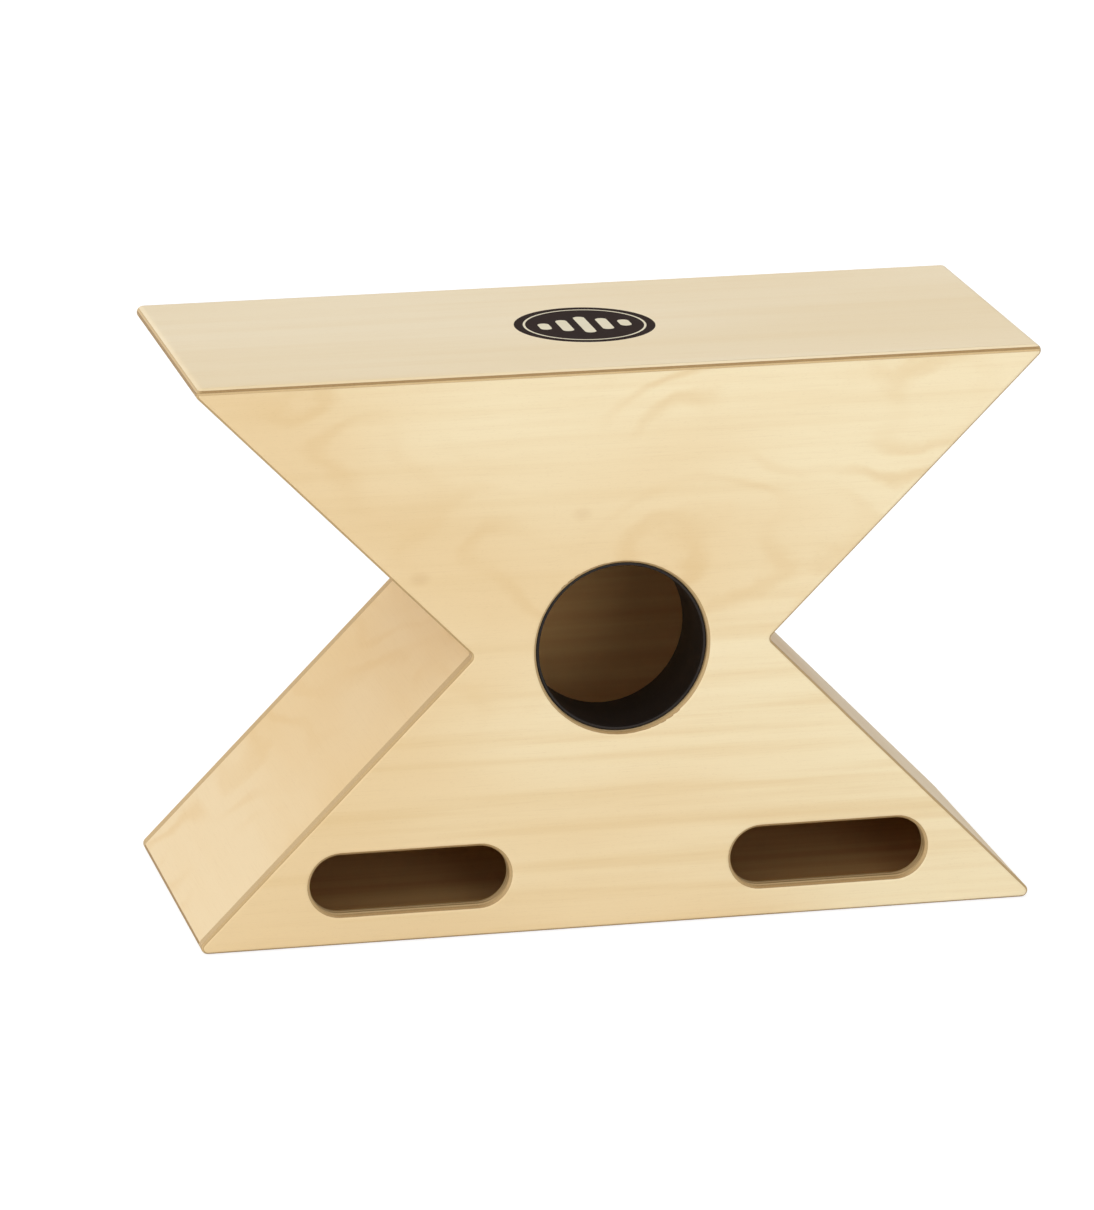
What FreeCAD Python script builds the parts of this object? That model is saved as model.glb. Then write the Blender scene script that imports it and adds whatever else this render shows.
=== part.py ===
import FreeCAD, Part
import math
import os

# Hourglass cajon, played on its top panel with the player's thighs in the two waist notches.
# Frame: millimetres, +X to the player's right seen from the front, -Y towards the sound ports, +Z up.
# Origin: centre of the base. Every board is plywood, glued edge to face.

# ---- overall sizes ----
body_width = 515.0            # over the rounded tips, the same at top and base
body_height = 350.0           # base to playing surface
body_depth = 208.0            # front panel face to back panel face
waist_width = 182.0           # narrowest width, between the two notches
waist_height = 176.0          # height of the notches above the base

# ---- boards ----
board_thickness = 9.0         # front, back, bottom and side boards
playing_thickness = 4.0       # thin panel that is struck
tip_radius = 4.0              # rounding of the four pointed corners, seen from the front
waist_radius = 3.0            # rounding at the bottom of each notch
edge_round = 2.5              # round-over of the outer front and back edges

# ---- sound ports in the front panel ----
port_bore_radius = 50.5       # inside of the bass port's tube, which is centred at the waist
port_wall = 2.0
port_length = 52.0            # front rim to rear rim
port_recess = 3.2             # front rim behind the front face
port_fit = 0.2                # radial clearance of the tube in the panel
port_edge_round = 3.0         # round-over of the panel around the port
port_rim_round = 0.7
flange_width = 13.0           # inside flange, beyond the tube's wall
flange_thickness = 3.0
flange_round = 0.8

slot_length = 122.0           # through opening, end to end
slot_height = 37.0
slot_corner_distance = 66.5   # from the base's pointed corner to the slot's outer end
slot_centre_height = 38.0
slot_edge_round = 3.5

# ---- inner frame ----
batten_depth = 15.0           # strips under the long edges of the playing panel
batten_height = 15.0
block_leg = 20.0              # triangular glue blocks in the pointed corners

# ---- snares under the playing panel, one set each side ----
rail_width = 22.0
rail_height = 22.0
snare_angle = 5.0             # degrees that the strands rise outwards, so that they press on the panel
snare_gap = 0.3               # free ends below the playing panel
snare_end_gap = 12.0          # from the free ends to the glue block in the corner
strand_count = 12
strand_radius = 1.0           # outside of the coiled wire
strand_length = 88.0
strand_pitch = 9.0
anchor_width = 18.0           # metal strip that the strands are soldered to
anchor_thickness = 1.2
anchor_margin = 6.0           # strip beyond the last strand
solder_length = 8.0           # strand that lies on the strip

# ---- screws ----
screw_radius = 1.75
screw_length = 9.0            # below the head
screw_head_radius = 3.5
screw_head_height = 2.2
screw_head_round = 1.2
screw_hole_clearance = 0.35   # radial, in the part that is held
pilot_clearance = 0.05        # radial, in the wood
pilot_extra_depth = 0.5
port_screw_count = 4
anchor_screw_count = 3

# ---- badge ----
badge_radius = 43.0
badge_thickness = 0.2         # let into the playing panel, flush with its top

# ---- worked out from the sizes above ----
seat_height = body_height - playing_thickness       # underside of the playing panel
front_face = -body_depth / 2
back_face = body_depth / 2
front_inside = front_face + board_thickness
back_inside = back_face - board_thickness
inner_depth = back_inside - front_inside
waist_half = waist_width / 2
slot_centre = body_width / 2 - slot_corner_distance - slot_length / 2


def sharp_half_width(rise):
    """Half width over the corners before rounding, for an arm of the hourglass this high."""
    half = body_width / 2
    for _ in range(30):
        angle = math.atan2(rise, half - waist_half)
        half = body_width / 2 + tip_radius * (1 / math.tan(angle / 2) - 1)
    return half


top_half = sharp_half_width(body_height - waist_height)
base_half = sharp_half_width(waist_height)


def at(x, z, y=0.0):
    return FreeCAD.Vector(x, y, z)


def corner_arc(before, corner, after, radius):
    """The arc that rounds one corner of an outline."""
    inward = (before - corner).normalize()
    onward = (after - corner).normalize()
    half_angle = inward.getAngle(onward) / 2
    reach = radius / math.tan(half_angle)
    middle_way = (inward + onward).normalize()
    middle = corner + middle_way * (radius / math.sin(half_angle) - radius)
    return Part.Arc(corner + inward * reach, middle, corner + onward * reach)


def rounded_face(corners, radii):
    """A flat face whose outline has every corner rounded."""
    count = len(corners)
    arcs = [corner_arc(corners[i - 1], corners[i], corners[(i + 1) % count], radii[i])
            for i in range(count)]
    edges = []
    for i, arc in enumerate(arcs):
        following = arcs[(i + 1) % count]
        edges.append(arc.toShape())
        edges.append(Part.LineSegment(arc.EndPoint, following.StartPoint).toShape())
    return Part.Face(Part.Wire(edges))


def prism(corners, y_low, y_high):
    """A straight prism along Y with a sharp outline."""
    outline = Part.makePolygon(corners + corners[:1])
    solid = Part.Face(outline).extrude(FreeCAD.Vector(0, y_high - y_low, 0))
    solid.translate(FreeCAD.Vector(0, y_low, 0))
    return solid


def slab(y_low, y_high, z_low, z_high):
    """A box wider than the body, used to slice it."""
    width = 2 * body_width
    return Part.makeBox(width, y_high - y_low, z_high - z_low, at(-width / 2, z_low, y_low))


def mirrored(shape):
    return shape.mirror(FreeCAD.Vector(0, 0, 0), FreeCAD.Vector(1, 0, 0))


def rod(radius, length, start, direction):
    return Part.makeCylinder(radius, length, start, direction)


def write(name, shape):
    shape.exportStep("parts/" + name + ".step")


# ---- outer envelope: the hourglass with its corners and edges rounded ----
outer = [at(-base_half, 0), at(base_half, 0), at(waist_half, waist_height),
         at(top_half, body_height), at(-top_half, body_height), at(-waist_half, waist_height)]
outer_radii = [tip_radius, tip_radius, waist_radius, tip_radius, tip_radius, waist_radius]


def make_envelope():
    solid = rounded_face(outer, outer_radii).extrude(FreeCAD.Vector(0, body_depth, 0))
    solid.translate(FreeCAD.Vector(0, front_face, 0))
    rims = [edge for edge in solid.Edges
            if abs(edge.BoundBox.YMin - edge.BoundBox.YMax) < 0.001]
    return solid.makeFillet(edge_round, rims)


# ---- inner outline: the same hourglass, one board thickness further in ----
def offset_line(start, end):
    """A point and a direction on the line one board thickness inside an edge of the outline."""
    way = (end - start).normalize()
    inside = FreeCAD.Vector(-way.z, 0, way.x)
    return start + inside * board_thickness, way


def meeting(line_a, line_b):
    (point_a, way_a), (point_b, way_b) = line_a, line_b
    across = way_a.x * way_b.z - way_a.z * way_b.x
    gap = point_b - point_a
    reach = (gap.x * way_b.z - gap.z * way_b.x) / across
    return point_a + way_a * reach


base_line = offset_line(outer[0], outer[1])
lower_line = offset_line(outer[1], outer[2])
upper_line = offset_line(outer[2], outer[3])
seat_line = (at(0, seat_height), at(1, 0))

base_inner = meeting(base_line, lower_line)
waist_inner = meeting(lower_line, upper_line)
seat_inner = meeting(upper_line, seat_line)
seat_outer = meeting((outer[2], (outer[3] - outer[2]).normalize()), seat_line)


def flipped(point):
    return at(-point.x, point.z)


cavity_corners = [flipped(base_inner), base_inner, waist_inner, seat_inner,
                  flipped(seat_inner), flipped(waist_inner)]


# ---- boards ----
def pilot_hole(start, direction, held_thickness):
    """A blind hole for what is left of a screw once it has passed through the held part."""
    depth = screw_length - held_thickness + pilot_extra_depth
    return rod(screw_radius + pilot_clearance, depth, start, direction)


def port_screw_places():
    """Centres of the bass port's screws, on the inside face of the front panel."""
    reach = port_bore_radius + port_wall + flange_width / 2
    for i in range(port_screw_count):
        angle = 2 * math.pi * (i + 0.5) / port_screw_count
        yield at(reach * math.cos(angle), waist_height + reach * math.sin(angle), front_inside)


def port_opening():
    """Bore for the tube with its round-over at the front."""
    radius = port_bore_radius + port_wall + port_fit
    rounded = radius + port_edge_round
    bore = rod(radius, board_thickness, at(0, waist_height, front_face), FreeCAD.Vector(0, 1, 0))
    disc = rod(rounded, port_edge_round, at(0, waist_height, front_face), FreeCAD.Vector(0, 1, 0))
    ring = Part.makeTorus(rounded, port_edge_round,
                          at(0, waist_height, front_face + port_edge_round),
                          FreeCAD.Vector(0, 1, 0))
    return bore.fuse(disc.cut(ring))


def slot_opening(side):
    """A slot with round ends through the front panel, to the left (-1) or the right (1)."""
    radius = slot_height / 2
    centre = side * slot_centre
    reach = (slot_length - slot_height) / 2
    ends = [rod(radius, board_thickness, at(centre + x, slot_centre_height, front_face),
                FreeCAD.Vector(0, 1, 0)) for x in (-reach, reach)]
    middle = Part.makeBox(2 * reach, board_thickness, slot_height,
                          at(centre - reach, slot_centre_height - radius, front_face))
    return middle.fuse(ends).removeSplitter()


def is_slot_mouth(edge):
    """Whether an edge is part of a slot's outline on the front face."""
    box = edge.BoundBox
    on_front = abs(box.YMin - front_face) < 0.001 and abs(box.YMax - front_face) < 0.001
    low = box.ZMin > slot_centre_height - slot_height / 2 - 0.1
    high = box.ZMax < slot_centre_height + slot_height / 2 + 0.1
    middle = abs(box.XMin + box.XMax) / 2
    near = abs(middle - slot_centre) < slot_length / 2
    return on_front and low and high and near


def make_front_panel(envelope):
    panel = envelope.common(slab(front_face, front_inside, 0, seat_height))
    panel = panel.cut(port_opening())
    for side in (-1, 1):
        panel = panel.cut(slot_opening(side))
    mouth_edges = [edge for edge in panel.Edges if is_slot_mouth(edge)]
    panel = panel.makeFillet(slot_edge_round, mouth_edges)
    for place in port_screw_places():
        panel = panel.cut(pilot_hole(place, FreeCAD.Vector(0, -1, 0), flange_thickness))
    return panel.removeSplitter()


def make_back_panel(envelope):
    return envelope.common(slab(back_inside, back_face, 0, seat_height)).removeSplitter()


def make_badge():
    """The printed disc, whose face is level with the top of the playing panel."""
    return rod(badge_radius, badge_thickness, at(0, body_height - badge_thickness),
               FreeCAD.Vector(0, 0, 1))


def make_playing_surface(envelope):
    panel = envelope.common(slab(front_face, back_face, seat_height, body_height))
    return panel.cut(make_badge()).removeSplitter()


def board(corners, envelope):
    """A perimeter board between the front and back panels, mitred to its neighbours."""
    return prism(corners, front_inside, back_inside).common(envelope).removeSplitter()


# ---- bass port: a plastic tube with a flange inside the front panel ----
def is_port_rim(edge):
    """Whether an edge is the bore's front or rear mouth."""
    if not isinstance(edge.Curve, Part.Circle):
        return False
    return abs(edge.Curve.Radius - port_bore_radius) < 0.01


def is_flange_edge(edge):
    """Whether an edge is the flange's outer edge away from the panel."""
    if not isinstance(edge.Curve, Part.Circle):
        return False
    right_radius = abs(edge.Curve.Radius - port_bore_radius - port_wall - flange_width) < 0.01
    return right_radius and edge.Curve.Center.y > front_inside + flange_thickness / 2


def make_port_tube():
    along = FreeCAD.Vector(0, 1, 0)
    outer_radius = port_bore_radius + port_wall
    rim = front_face + port_recess
    tube = rod(outer_radius, port_length, at(0, waist_height, rim), along)
    flange = rod(outer_radius + flange_width, flange_thickness,
                 at(0, waist_height, front_inside), along)
    flange = flange.common(prism(cavity_corners, front_inside, front_inside + flange_thickness))
    body = tube.fuse(flange)
    body = body.cut(rod(port_bore_radius, port_length, at(0, waist_height, rim), along))
    for place in port_screw_places():
        body = body.cut(rod(screw_radius + screw_hole_clearance, flange_thickness, place, along))
    rims = [edge for edge in body.Edges if is_port_rim(edge)]
    body = body.makeFillet(port_rim_round, rims)
    flange_edge = [edge for edge in body.Edges if is_flange_edge(edge)]
    return body.makeFillet(flange_round, flange_edge)


def screw(start, direction):
    """A pan-head screw whose head rests at start and whose shank runs along direction."""
    shank = rod(screw_radius, screw_length, start, direction)
    head = rod(screw_head_radius, screw_head_height, start, direction * -1)
    top = start - direction * screw_head_height
    crown = [edge for edge in head.Edges
             if isinstance(edge.Curve, Part.Circle) and edge.Curve.Center.distanceToPoint(top) < 0.01]
    head = head.makeFillet(screw_head_round, crown)
    return head.fuse(shank).removeSplitter()


def make_port_screws():
    lift = FreeCAD.Vector(0, flange_thickness, 0)
    return Part.makeCompound([screw(place + lift, FreeCAD.Vector(0, -1, 0))
                              for place in port_screw_places()])


# ---- inner frame ----
def make_batten(y_low):
    """A strip under the playing panel, cut to the slope of the side boards at its ends."""
    strip = slab(y_low, y_low + batten_depth, seat_height - batten_height, seat_height)
    return strip.common(prism(cavity_corners, y_low, y_low + batten_depth)).removeSplitter()


def corner_block(corner, toward_a, toward_b, y_low, y_high):
    """A three-sided glue block in a pointed inner corner."""
    a = corner + (toward_a - corner).normalize() * block_leg
    b = corner + (toward_b - corner).normalize() * block_leg
    return prism([corner, a, b], y_low, y_high)


# ---- snares, drawn for the right-hand side in a tilted frame ----
# Along the frame's x the strands run outwards; its z is square to the rail's planed top.
tilt = math.radians(snare_angle)
rail_y_low = front_inside + batten_depth
rail_y_high = back_inside - batten_depth
strand_reach = anchor_width - solder_length + strand_length      # inner edge of strip to free end
strand_axis = anchor_thickness + strand_radius                   # height of a strand over the rail
free_end_rise = strand_reach * math.sin(tilt) + (strand_axis + strand_radius) * math.cos(tilt)
free_end = seat_inner.x - block_leg - snare_end_gap
pivot = at(free_end - strand_reach * math.cos(tilt), seat_height - snare_gap - free_end_rise)


def tilted(shape):
    """Turns a shape from the level frame at the origin into the snares' place."""
    shape.rotate(FreeCAD.Vector(0, 0, 0), FreeCAD.Vector(0, 1, 0), -snare_angle)
    shape.translate(pivot)
    return shape


def strand_places():
    first = -(strand_count - 1) / 2 * strand_pitch
    return [first + i * strand_pitch for i in range(strand_count)]


def anchor_length():
    return (strand_count - 1) * strand_pitch + 2 * anchor_margin


def anchor_screw_places():
    """Screws between two strands, the outer ones one pitch in from the ends."""
    reach = (strand_count / 2 - 1) * strand_pitch
    step = 2 * reach / (anchor_screw_count - 1)
    x = (anchor_width - solder_length) / 2
    return [at(x, anchor_thickness, -reach + i * step) for i in range(anchor_screw_count)]


def make_snare_rail():
    rise = rail_width * math.tan(tilt)
    profile = [at(pivot.x, pivot.z - rail_height), at(pivot.x + rail_width, pivot.z - rail_height),
               at(pivot.x + rail_width, pivot.z + rise), at(pivot.x, pivot.z)]
    rail = prism(profile, rail_y_low, rail_y_high)
    for place in anchor_screw_places():
        top = at(place.x, 0, place.y)
        rail = rail.cut(tilted(pilot_hole(top, FreeCAD.Vector(0, 0, -1), anchor_thickness)))
    return rail


def make_anchor_plate():
    length = anchor_length()
    plate = Part.makeBox(anchor_width, length, anchor_thickness, at(0, 0, -length / 2))
    for place in anchor_screw_places():
        plate = plate.cut(rod(screw_radius + screw_hole_clearance, anchor_thickness, place,
                              FreeCAD.Vector(0, 0, -1)))
    return tilted(plate)


def make_snare_screws():
    return Part.makeCompound([tilted(screw(place, FreeCAD.Vector(0, 0, -1)))
                              for place in anchor_screw_places()])


def make_snare_wires():
    start = anchor_width - solder_length
    strands = [rod(strand_radius, strand_length, at(start, strand_axis, y), FreeCAD.Vector(1, 0, 0))
               for y in strand_places()]
    return Part.makeCompound([tilted(strand) for strand in strands])


# ---- build ----
os.makedirs("parts", exist_ok=True)

envelope = make_envelope()
write("front_panel", make_front_panel(envelope))
write("back_panel", make_back_panel(envelope))
write("playing_surface", make_playing_surface(envelope))

write("bottom_panel", board([outer[0], outer[1], base_inner, flipped(base_inner)], envelope))
lower_side = board([outer[1], outer[2], waist_inner, base_inner], envelope)
upper_side = board([outer[2], seat_outer, seat_inner, waist_inner], envelope)
write("lower_right_side", lower_side)
write("lower_left_side", mirrored(lower_side))
write("upper_right_side", upper_side)
write("upper_left_side", mirrored(upper_side))

write("port_tube", make_port_tube())
write("port_tube_screws", make_port_screws())

write("top_front_batten", make_batten(front_inside))
write("top_back_batten", make_batten(back_inside - batten_depth))
base_block = corner_block(base_inner, flipped(base_inner), waist_inner, front_inside, back_inside)
seat_block = corner_block(seat_inner, flipped(seat_inner), waist_inner, rail_y_low, rail_y_high)
write("bottom_right_corner_block", base_block)
write("bottom_left_corner_block", mirrored(base_block))
write("top_right_corner_block", seat_block)
write("top_left_corner_block", mirrored(seat_block))

snare_parts = {"snare_rail": make_snare_rail(), "snare_anchor_plate": make_anchor_plate(),
               "snare_screws": make_snare_screws(), "snare_wires": make_snare_wires()}
for name, shape in snare_parts.items():
    write(name + "_right", shape)
    write(name + "_left", mirrored(shape))

write("badge", make_badge())
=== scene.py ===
import math

import bpy
from mathutils import Matrix, Vector


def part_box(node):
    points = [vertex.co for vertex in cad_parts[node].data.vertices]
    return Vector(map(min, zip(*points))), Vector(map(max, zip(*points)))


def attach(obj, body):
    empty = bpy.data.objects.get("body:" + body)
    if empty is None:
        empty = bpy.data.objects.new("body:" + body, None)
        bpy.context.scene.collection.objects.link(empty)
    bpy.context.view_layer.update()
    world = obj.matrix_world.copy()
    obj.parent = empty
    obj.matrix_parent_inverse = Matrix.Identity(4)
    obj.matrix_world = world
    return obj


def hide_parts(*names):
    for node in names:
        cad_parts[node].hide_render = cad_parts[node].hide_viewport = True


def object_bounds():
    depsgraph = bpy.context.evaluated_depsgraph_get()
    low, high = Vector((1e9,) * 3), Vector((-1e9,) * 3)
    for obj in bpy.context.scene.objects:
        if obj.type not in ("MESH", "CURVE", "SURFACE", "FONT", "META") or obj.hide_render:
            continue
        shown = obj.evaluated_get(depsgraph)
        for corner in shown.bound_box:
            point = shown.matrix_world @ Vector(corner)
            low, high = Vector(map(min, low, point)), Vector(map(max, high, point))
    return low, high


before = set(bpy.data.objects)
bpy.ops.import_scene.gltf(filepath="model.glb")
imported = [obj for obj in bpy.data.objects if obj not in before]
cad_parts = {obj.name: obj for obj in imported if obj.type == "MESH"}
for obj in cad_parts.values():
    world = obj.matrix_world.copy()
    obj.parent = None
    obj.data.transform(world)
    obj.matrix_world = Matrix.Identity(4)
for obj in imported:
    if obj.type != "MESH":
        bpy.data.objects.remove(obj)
cad_low, cad_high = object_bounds()
heart = (cad_low + cad_high) / 2


# ---- Front panel -----------------------------------------------------------------------------
# Nine millimetre birch plywood, cut to the hourglass with a round port and two slots, glued over
# the front edges of the other boards. Its edges are rounded over, sanded and lacquered satin.

arris = 0.00022                 # what sandpaper takes off every sharp edge
skin = 0.00035                  # the face veneer, sanded thin
glue_line = 0.00014             # the dark glue between two plies, as it shows at an edge
ply_wander = 0.00007            # how far a ply strays from its level
satin = 0.4                     # roughness of the lacquer
birch_pale = (246, 229, 190)
birch_deep = (236, 209, 162)


def paint(red, green, blue):
    """A colour from its eight-bit values, as the shaders want it."""
    return [((c / 255 + 0.055) / 1.055) ** 2.4 for c in (red, green, blue)] + [1.0]


def new_finish(name):
    """An empty finish, ready for its nodes."""
    finish = bpy.data.materials.new(name)
    finish.use_nodes = True
    return finish


def add_node(finish, kind, sockets, **settings):
    """One node of a finish. Its sockets get numbers or what other nodes give."""
    node = finish.node_tree.nodes.new("ShaderNode" + kind)
    for setting, value in settings.items():
        setattr(node, setting, value)
    for socket, value in sockets.items():
        if isinstance(value, bpy.types.NodeSocket):
            finish.node_tree.links.new(value, node.inputs[socket])
        else:
            node.inputs[socket].default_value = value
    return node


def reckon(finish, operation, *values):
    """A sum on numbers, such as MULTIPLY or ADD."""
    return add_node(finish, "Math", dict(enumerate(values)), operation=operation).outputs[0]


def ease(finish, value, start, end):
    """0 up to start and 1 from end, with a smooth way between."""
    sockets = {"Value": value, "From Min": start, "From Max": end}
    return add_node(finish, "MapRange", sockets, interpolation_type="SMOOTHSTEP").outputs[0]


def own_place(finish):
    """Where a point lies on the piece, in metres."""
    return add_node(finish, "TexCoord", {}).outputs["Object"]


def facing(finish, direction):
    """1 where the surface faces a direction, 0 where it is side on, -1 where it faces away."""
    sockets = {0: add_node(finish, "TexCoord", {}).outputs["Normal"], 1: direction}
    return add_node(finish, "VectorMath", sockets, operation="DOT_PRODUCT").outputs["Value"]


def off_middle(finish, value):
    """How far a value lies from the middle between two whole numbers, from 0 to 0.5."""
    return reckon(finish, "ABSOLUTE", reckon(finish, "SUBTRACT", reckon(finish, "FRACT", value), 0.5))


def stretched(finish, place, along, across, through=0.0):
    """The place scaled for a pattern: patches per metre with the grain, across it and inwards."""
    scale = (along, across, through)
    return add_node(finish, "VectorMath", {0: place, 1: scale}, operation="MULTIPLY").outputs[0]


def cloud(finish, place, detail=2.0, roughness=0.5):
    """Soft noise from 0 to 1 at about one patch for each unit of place."""
    sockets = {"Vector": place, "Scale": 1.0, "Detail": detail, "Roughness": roughness}
    return add_node(finish, "TexNoise", sockets).outputs[0]


def mix(finish, share, below, above):
    """Two colours laid over each other, by a share from 0 to 1. Sockets 6 and 7 take colours."""
    return add_node(finish, "Mix", {0: share, 6: below, 7: above}, data_type="RGBA").outputs[2]


def stain(finish, tone, share, strength, colour):
    """Lays a colour over a tone by a share from 0 to 1, and no stronger than its strength."""
    return mix(finish, reckon(finish, "MULTIPLY", share, strength), tone, paint(*colour))


def finish_shader(finish, colour, roughness, height, relief, gloss=0.5):
    """Gives a finish's shader its colour, roughness, mirror share and a relief in metres."""
    shader = finish.node_tree.nodes["Principled BSDF"]
    links = finish.node_tree.links
    bump = add_node(finish, "Bump", {"Strength": 1.0, "Distance": relief, "Height": height})
    links.new(colour, shader.inputs["Base Color"])
    links.new(roughness, shader.inputs["Roughness"])
    links.new(bump.outputs[0], shader.inputs["Normal"])
    shader.inputs["Specular IOR Level"].default_value = gloss
    return shader


def outer_face(board):
    """Which way a board's outer face looks, how far out it lies, and the board's thickness."""
    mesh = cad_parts[board].data
    low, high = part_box(board)
    away = (low + high) / 2 - heart
    outside = [face for face in mesh.polygons if face.normal.dot(away) > 0]
    outward = max(outside, key=lambda face: face.area).normal.copy()
    reaches = [vertex.co.dot(outward) for vertex in mesh.vertices]
    return outward, max(reaches), max(reaches) - min(reaches)


def grain_place(finish, along, outward, reach, spot):
    """Places on a board: x with the grain, y across it, z the depth below the outer face."""
    inward = -outward
    turn = Matrix((along, inward.cross(along), inward))
    sockets = {"Vector": own_place(finish), "Location": (spot[0], spot[1], reach),
               "Rotation": turn.to_euler()}
    return add_node(finish, "Mapping", sockets).outputs[0]


def ply_edges(finish, place, depth, thickness, skins, plies, along, outward):
    """The cut edge of plywood: long grain and end grain in turn, with dark glue between."""
    ply = (thickness - sum(skins)) / (plies - 2)
    counted = reckon(finish, "DIVIDE", reckon(finish, "SUBTRACT", depth, skins[0]), ply)
    odd = reckon(finish, "MODULO", reckon(finish, "FLOOR", counted), 2.0)
    glue_share = glue_line / 2 / ply
    glue = ease(finish, off_middle(finish, counted), 0.5 - 2 * glue_share, 0.5 - glue_share / 2)

    sideways = reckon(finish, "ABSOLUTE", facing(finish, outward.cross(along)))
    endways = reckon(finish, "ABSOLUTE", facing(finish, along))
    long_grain = reckon(finish, "MULTIPLY_ADD", odd,
                        reckon(finish, "SUBTRACT", sideways, endways), endways)
    end_grain = reckon(finish, "SUBTRACT", 1.0, long_grain)

    fleck = cloud(finish, stretched(finish, place, 900, 900, 2600), detail=1.0)
    patch = cloud(finish, stretched(finish, place, 35, 35, 300), detail=2.0)
    long_tone = mix(finish, fleck, paint(210, 180, 130), paint(230, 202, 154))
    end_tone = mix(finish, fleck, paint(150, 118, 76), paint(182, 150, 102))
    tone = mix(finish, end_grain, long_tone, end_tone)
    tone = stain(finish, tone, patch, 0.3, (174, 144, 98))
    return stain(finish, tone, glue, 0.45, (120, 90, 54)), fleck


def flame_figure(finish, place, across, heartwards):
    """Soft flames where the knife met wavy growth rings. They fade in and out along the sheet."""
    swing = cloud(finish, stretched(finish, place, 4.2, 7.0), detail=2.0, roughness=0.45)
    feather = cloud(finish, stretched(finish, place, 28, 46), detail=3.0, roughness=0.6)
    rings = reckon(finish, "MULTIPLY_ADD", swing, 13.0, reckon(finish, "MULTIPLY", across, 7.0))
    rings = reckon(finish, "MULTIPLY_ADD", feather, 0.7, rings)
    fading = ease(finish, cloud(finish, stretched(finish, place, 7, 12), detail=1.0), 0.4, 0.66)
    return reckon(finish, "MULTIPLY", ease(finish, off_middle(finish, rings), 0.3, 0.02),
                  reckon(finish, "MULTIPLY", fading, heartwards))


def pore_dashes(finish, place):
    """The short dark dashes of cut vessels."""
    sockets = {"Vector": stretched(finish, place, 260, 2400), "Scale": 1.0}
    pore = add_node(finish, "TexVoronoi", sockets)
    return reckon(finish, "MULTIPLY", reckon(finish, "LESS_THAN", pore.outputs["Distance"], 0.22),
                  reckon(finish, "GREATER_THAN", pore.outputs["Color"], 0.62))


def pin_knots(finish, place):
    """A few pin knots: their dark hearts, and the browner wood round them."""
    knot = add_node(finish, "TexVoronoi", {"Vector": stretched(finish, place, 17, 24), "Scale": 1.0})
    distance = knot.outputs["Distance"]
    few = reckon(finish, "GREATER_THAN", knot.outputs["Color"], 0.8)
    hearts = reckon(finish, "MULTIPLY", ease(finish, distance, 0.045, 0.015), few)
    halos = reckon(finish, "MULTIPLY", ease(finish, distance, 0.16, 0.03), few)
    return hearts, halos


def veneer(finish, place, painted_shade_lean, streaks, pale, deep):
    """The face of rotary-cut birch: its tone with painted shade laid in by the lean, its relief and its
    streaks.
    """
    across = add_node(finish, "SeparateXYZ", {0: place}).outputs[1]
    heartwards = ease(finish, across, 0.07, -0.05)
    flames = flame_figure(finish, place, across, heartwards)
    dashes = pore_dashes(finish, place)
    hearts, halos = pin_knots(finish, place)
    streak = cloud(finish, stretched(finish, place, 2.2, 70), detail=4.0, roughness=0.55)
    streak_share = reckon(finish, "MULTIPLY",
                          reckon(finish, "MULTIPLY_ADD", heartwards, -0.5, 1.0), streaks)
    fibre = cloud(finish, stretched(finish, place, 30, 1300), detail=2.0, roughness=0.6)
    patch = cloud(finish, stretched(finish, place, 2.6, 8), detail=2.0)
    # Painted shade: the lean deepens the tone along a slope, added to the wood's random patches.
    painted_shade_slope = add_node(finish, "VectorMath", {0: own_place(finish), 1: painted_shade_lean[:3]},
                     operation="DOT_PRODUCT").outputs["Value"]
    patch_and_painted_shade = reckon(finish, "ADD", patch, reckon(finish, "ADD", painted_shade_slope, painted_shade_lean[3]))

    tone = mix(finish, ease(finish, patch_and_painted_shade, 0.3, 0.72), pale, deep)
    tone = stain(finish, tone, ease(finish, streak, 0.42, 0.72), streak_share, (228, 198, 146))
    tone = stain(finish, tone, flames, 0.42, (224, 190, 134))
    tone = stain(finish, tone, ease(finish, fibre, 0.5, 0.8), 0.12, (204, 170, 122))
    tone = stain(finish, tone, dashes, 0.14, (186, 148, 100))
    tone = stain(finish, tone, halos, 0.25, (206, 168, 118))
    tone = stain(finish, tone, hearts, 0.75, (150, 108, 70))
    height = reckon(finish, "SUBTRACT", reckon(finish, "MULTIPLY", fibre, 0.6),
                    reckon(finish, "MULTIPLY", dashes, 0.5))
    return tone, height, streak


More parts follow.
